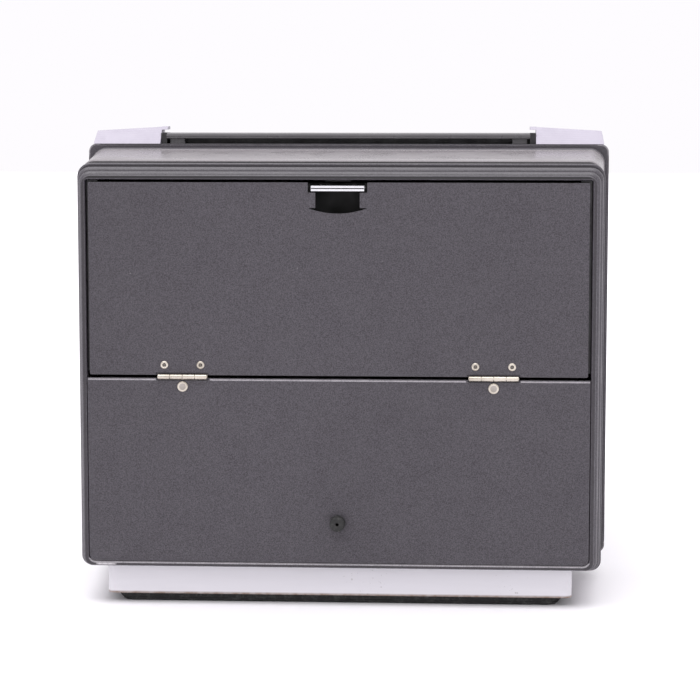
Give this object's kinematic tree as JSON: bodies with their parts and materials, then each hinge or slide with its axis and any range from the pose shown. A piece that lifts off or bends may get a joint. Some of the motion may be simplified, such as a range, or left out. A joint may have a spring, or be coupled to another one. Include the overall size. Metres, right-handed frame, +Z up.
{
  "type": "overhead projector",
  "caption": "Overhead projector with an upright case, latched drop door, carrying bar, lit stage and a lens head that stows on a pull-up post.",
  "frame": {"origin": "on the floor under the middle of the projector's bounding box, at rest", "axes": "+Z up, -Y the side with the drop door, +Y the presenter's side, X across"},
  "size_m": [0.436, 0.5, 0.379],
  "materials": {
    "shell_foam": "dark grey textured structural foam with a fine pale fleck",
    "pale_paint": "pale grey satin paint",
    "cap_plastic": "pale grey moulded plastic",
    "black_plastic": "black moulded plastic",
    "liner_plastic": "black vacuum-formed plastic",
    "handle_grip": "dark grey satin plastic",
    "rubber": "black rubber",
    "nickel": "bright nickel plate",
    "steel": "bright steel",
    "zinc_plate": "zinc-plated sheet",
    "chrome": "chrome plate",
    "black_metal": "satin black paint on metal",
    "stage_glass": "clear flat glass",
    "fresnel_plastic": "clear acrylic with fine concentric grooves",
    "optical_glass": "polished optical glass",
    "lamp_glass": "clear quartz",
    "reflector": "dichroic coated dish",
    "ceramic": "unglazed ceramic",
    "rocker_red": "red glossy plastic",
    "core_steel": "varnished steel laminations",
    "winding": "amber tape over copper winding",
    "fan_plastic": "dark grey moulded plastic",
    "knob_plastic": "black fluted plastic",
    "head_plastic": "dark textured plastic",
    "mirror": "front-silvered mirror"
  },
  "bodies": {
    "case": {"base_pan": "pale_paint", "rubber_feet": "rubber", "case_screws": "steel", "front_bezel": "shell_foam", "lower_panel": "shell_foam", "panel_bumper": "rubber", "tower_sleeve": "shell_foam", "back_shell": "shell_foam", "hinge_leaves_fixed": "nickel", "hinge_pins": "nickel", "panel_rivets": "nickel", "latch_keeper": "black_metal", "compartment_liner": "liner_plastic", "cord_wrap_pegs": "black_plastic", "spare_lamp": "lamp_glass", "spare_lamp_clip": "steel", "handle_caps": "cap_plastic", "handle_well": "black_plastic", "light_box": "shell_foam", "stage_frame": "shell_foam", "stage_glass": "stage_glass", "fresnel_lens": "fresnel_plastic", "lens_carrier": "zinc_plate", "condenser_lens": "optical_glass", "heat_glass": "optical_glass", "carriage_rails": "steel", "switch_bezel": "black_plastic", "mains_inlet": "black_plastic", "transformer_core": "core_steel", "transformer_winding": "winding", "fan_frame": "black_plastic", "exhaust_grille": "black_plastic", "lamp_door_pin": "steel", "post_guide": "black_metal"},
    "door": {"drop_door": "shell_foam", "hinge_leaves_door": "nickel", "door_rivets": "nickel", "latch_housing": "black_plastic", "latch_pin": "steel", "latch_springs": "steel"},
    "latch": {"latch_bar": "chrome"},
    "handle": {"handle_bar": "handle_grip"},
    "post": {"post": "steel"},
    "head": {"head_carriage": "black_metal", "head_housing": "head_plastic", "objective_barrel": "black_metal", "objective_lenses": "optical_glass", "mirror_pins": "steel"},
    "focus": {"focus_pinion": "steel", "focus_knobs": "knob_plastic"},
    "mirror": {"mirror_lid": "head_plastic", "mirror_glass": "mirror"},
    "changer": {"lamp_carriage": "zinc_plate", "lamp_sockets": "ceramic", "lamps": "lamp_glass", "lamp_reflectors": "reflector", "changer_lever": "black_plastic"},
    "rocker": {"switch_rocker": "rocker_red"},
    "fan": {"fan_rotor": "fan_plastic"},
    "access": {"lamp_door": "shell_foam"}
  },
  "joints": [
    {"name": "door_drop", "type": "hinge", "parent": "case", "child": "door", "pos_m": [0, -0.2425, 0.1843], "axis": [1, 0, 0], "range_deg": [0, 176]},
    {"name": "latch_pull", "type": "hinge", "parent": "door", "child": "latch", "pos_m": [0, -0.2351, 0.3342], "axis": [-1, 0, 0], "range_deg": [0, 18], "stiffness_Nm_per_rad": 0.05, "springref_deg": -17.19},
    {"name": "handle_lift", "type": "slide", "parent": "case", "child": "handle", "axis": [0, 0, 1], "range_m": [0, 0.025]},
    {"name": "post_slide", "type": "slide", "parent": "case", "child": "post", "axis": [0, 0, 1], "range_m": [0, 0.2]},
    {"name": "focus_slide", "type": "slide", "parent": "post", "child": "head", "axis": [0, 0, 1], "range_m": [0, 0.03]},
    {"name": "focus_turn", "type": "hinge", "parent": "head", "child": "focus", "pos_m": [0, -0.038, 0.262], "axis": [1, 0, 0], "range_deg": [0, 195]},
    {"name": "mirror_tilt", "type": "hinge", "parent": "head", "child": "mirror", "pos_m": [0, 0.05, 0.35], "axis": [1, 0, 0], "range_deg": [0, 60]},
    {"name": "lamp_change", "type": "slide", "parent": "case", "child": "changer", "axis": [-1, 0, 0], "range_m": [0, 0.044]},
    {"name": "rocker_press", "type": "hinge", "parent": "case", "child": "rocker", "pos_m": [-0.11, 0.237, 0.12], "axis": [1, 0, 0], "range_deg": [0, 14]},
    {"name": "fan_spin", "type": "hinge", "parent": "case", "child": "fan", "pos_m": [-0.17, 0.101, 0.086], "axis": [1, 0, 0], "continuous": true},
    {"name": "access_swing", "type": "hinge", "parent": "case", "child": "access", "pos_m": [0.1887, 0.1475, 0.105], "axis": [0, 0, 1], "range_deg": [0, 100]}
  ],
  "couplings": [
    {"joint": "focus_turn", "follows": "focus_slide", "rad_per_m": 111.11}
  ]
}
